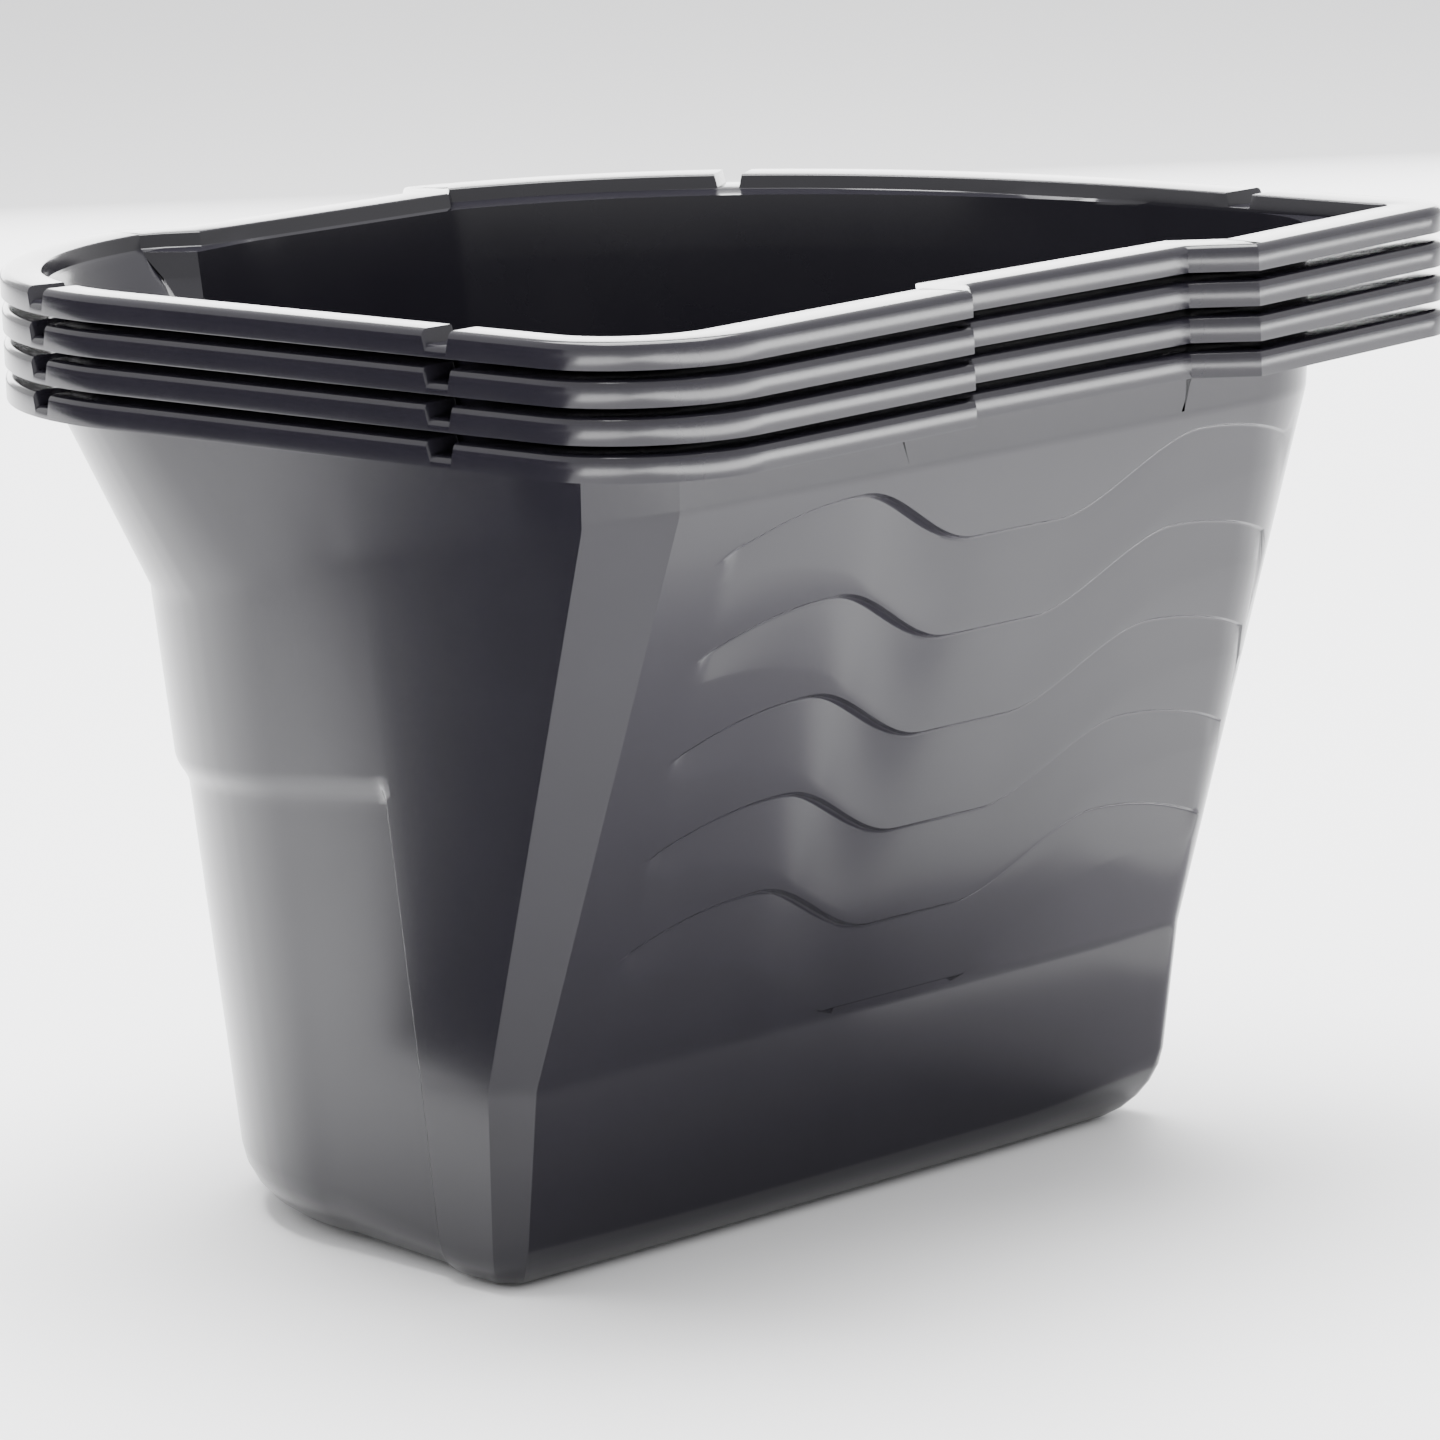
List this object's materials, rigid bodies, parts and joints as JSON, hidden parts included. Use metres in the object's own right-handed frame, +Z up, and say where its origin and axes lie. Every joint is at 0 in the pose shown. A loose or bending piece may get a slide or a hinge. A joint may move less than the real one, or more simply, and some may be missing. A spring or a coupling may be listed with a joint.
{
  "type": "nested plastic tub stack",
  "caption": "Nested stack of identical thin-walled tubs with sloping front, rounded far corners and a notched, skirted rim.",
  "frame": {"origin": "centre of the stack's bounding box in plan, at the underside of the lowest tub", "axes": "+Z up, along the way a tub lifts out; +X along the long side of the rims; -Y towards the sloping wave-patterned wall"},
  "size_m": [0.345, 0.3352, 0.2797],
  "materials": {
    "gloss_plastic": "gloss near-black moulded plastic"
  },
  "bodies": {
    "tub_1": {"tub_1": "gloss_plastic"},
    "tub_2": {"tub_2": "gloss_plastic"},
    "tub_3": {"tub_3": "gloss_plastic"},
    "tub_4": {"tub_4": "gloss_plastic"}
  },
  "joints": [
    {"name": "lift_2", "type": "slide", "parent": "tub_1", "child": "tub_2", "axis": [0, 0, 1], "range_m": [0, 0.26]},
    {"name": "lift_3", "type": "slide", "parent": "tub_2", "child": "tub_3", "axis": [0, 0, 1], "range_m": [0, 0.26]},
    {"name": "lift_4", "type": "slide", "parent": "tub_3", "child": "tub_4", "axis": [0, 0, 1], "range_m": [0, 0.26]}
  ]
}
